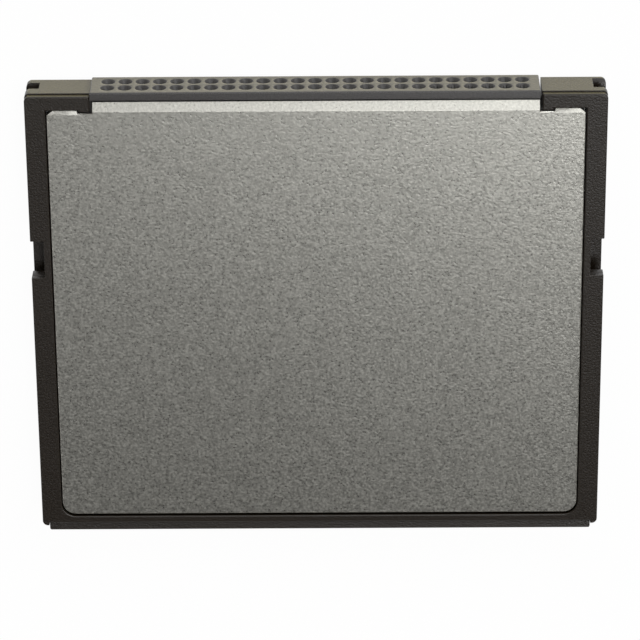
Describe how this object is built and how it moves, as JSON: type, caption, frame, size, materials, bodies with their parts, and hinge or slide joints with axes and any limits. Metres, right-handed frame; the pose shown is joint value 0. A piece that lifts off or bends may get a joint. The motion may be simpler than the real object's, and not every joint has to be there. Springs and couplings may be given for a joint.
{
  "type": "compact flash card",
  "caption": "Thin memory card: black moulded frame with keyed guide slots and a pull lip, steel covers on both faces and a twin-row pin receptacle along one edge.",
  "frame": {"origin": "middle of the back face, on the plane that the card lies on", "axes": "+X across the card towards the wide guide slot, +Y along the card towards the connector edge, +Z out of the front face"},
  "size_m": [0.0428, 0.0364, 0.0033],
  "materials": {
    "frame_plastic": "fine moulded texture, satin black",
    "connector_plastic": "moulded, satin black",
    "cover_steel": "fine satin",
    "contact_metal": "gold plated",
    "tinned_metal": "tin plated",
    "board_laminate": "green solder mask on glass laminate",
    "chip_epoxy": "moulded epoxy",
    "capacitor_ceramic": "fired ceramic with tinned ends",
    "resistor_ceramic": "glazed film on alumina",
    "insulating_film": "amber film"
  },
  "bodies": {
    "root": {"frame": "frame_plastic", "front_rim": "frame_plastic", "front_cover": "cover_steel", "back_cover": "cover_steel", "connector_housing": "connector_plastic", "front_row_contacts": "contact_metal", "back_row_contacts": "contact_metal", "connector_hold_downs": "tinned_metal", "circuit_board": "board_laminate", "controller_chip": "chip_epoxy", "controller_leads": "tinned_metal", "front_memory_chip": "chip_epoxy", "front_memory_leads": "tinned_metal", "back_memory_chip": "chip_epoxy", "back_memory_leads": "tinned_metal", "voltage_regulator": "chip_epoxy", "regulator_leads": "tinned_metal", "clock_crystal": "tinned_metal", "bulk_capacitor": "capacitor_ceramic", "ceramic_capacitors": "capacitor_ceramic", "chip_resistors": "resistor_ceramic", "resistor_arrays": "resistor_ceramic", "front_insulator": "insulating_film", "back_insulator": "insulating_film"}
  },
  "joints": []
}
